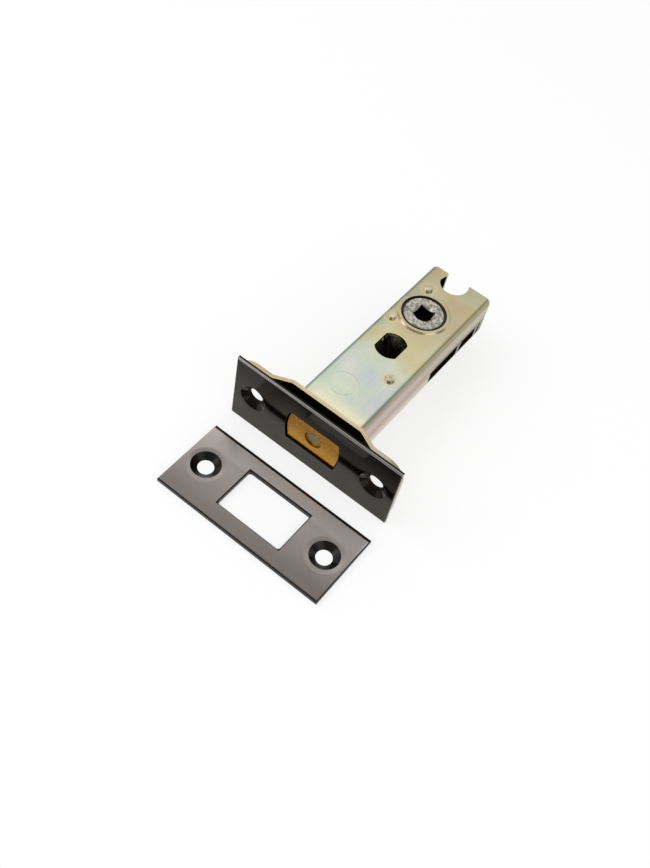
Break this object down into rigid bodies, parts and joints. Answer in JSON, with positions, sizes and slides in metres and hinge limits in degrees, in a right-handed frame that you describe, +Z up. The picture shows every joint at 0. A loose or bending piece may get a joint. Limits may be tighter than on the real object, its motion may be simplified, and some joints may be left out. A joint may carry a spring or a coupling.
{
  "type": "tubular deadbolt",
  "caption": "Tubular mortice deadbolt: bow-ended brass bolt in a folded steel case, thrown by a quarter-turn square follower, with countersunk forends and a flat strike plate.",
  "frame": {"origin": "centre of the outer forend's front face, on the bolt's axis", "axes": "+X along the forend's length, +Y into the door along the case, +Z up along the spindle's axis; the part lies on its forend's long edge, with the strike plate flat in front of it"},
  "size_m": [0.0579, 0.1097, 0.025],
  "materials": {
    "black_nickel_plate": "polished black nickel plating on brass",
    "yellow_zinc_steel": "yellow chromate over zinc plating, faintly iridescent",
    "rivet_steel": "yellow chromate over zinc plating, worn on the heads",
    "cast_zinc": "bare die-cast zinc, light grey and speckled",
    "black_nylon": "moulded black nylon",
    "bolt_brass": "drawn brass with a little tarnish",
    "stud_steel": "hardened steel, end ground flat",
    "plain_steel": "bare pressed steel, lightly oiled",
    "spring_steel": "drawn spring wire"
  },
  "bodies": {
    "case": {"outer_forend": "black_nickel_plate", "inner_forend": "yellow_zinc_steel", "case_shell": "yellow_zinc_steel", "case_cover": "yellow_zinc_steel", "front_case_rivet": "rivet_steel", "middle_case_rivet": "rivet_steel", "rear_case_rivet": "rivet_steel", "upper_follower_bush": "black_nylon", "lower_follower_bush": "black_nylon", "toggle_spring": "spring_steel", "strike_plate": "black_nickel_plate"},
    "bolt": {"bolt_head": "bolt_brass", "bolt_stud": "stud_steel", "bolt_tail": "plain_steel", "spring_peg": "plain_steel"},
    "follower": {"follower": "cast_zinc"}
  },
  "joints": [
    {"name": "bolt_slide", "type": "slide", "parent": "case", "child": "bolt", "axis": [0, -1, 0], "range_m": [0, 0.012], "deforming": ["toggle_spring"]},
    {"name": "follower_turn", "type": "hinge", "parent": "case", "child": "follower", "pos_m": [-0.0014, 0.056, 0], "axis": [0, 0, 1], "range_deg": [-90, 0]}
  ],
  "couplings": [
    {"joint": "follower_turn", "follows": "bolt_slide", "rad_per_m": -130.9}
  ]
}
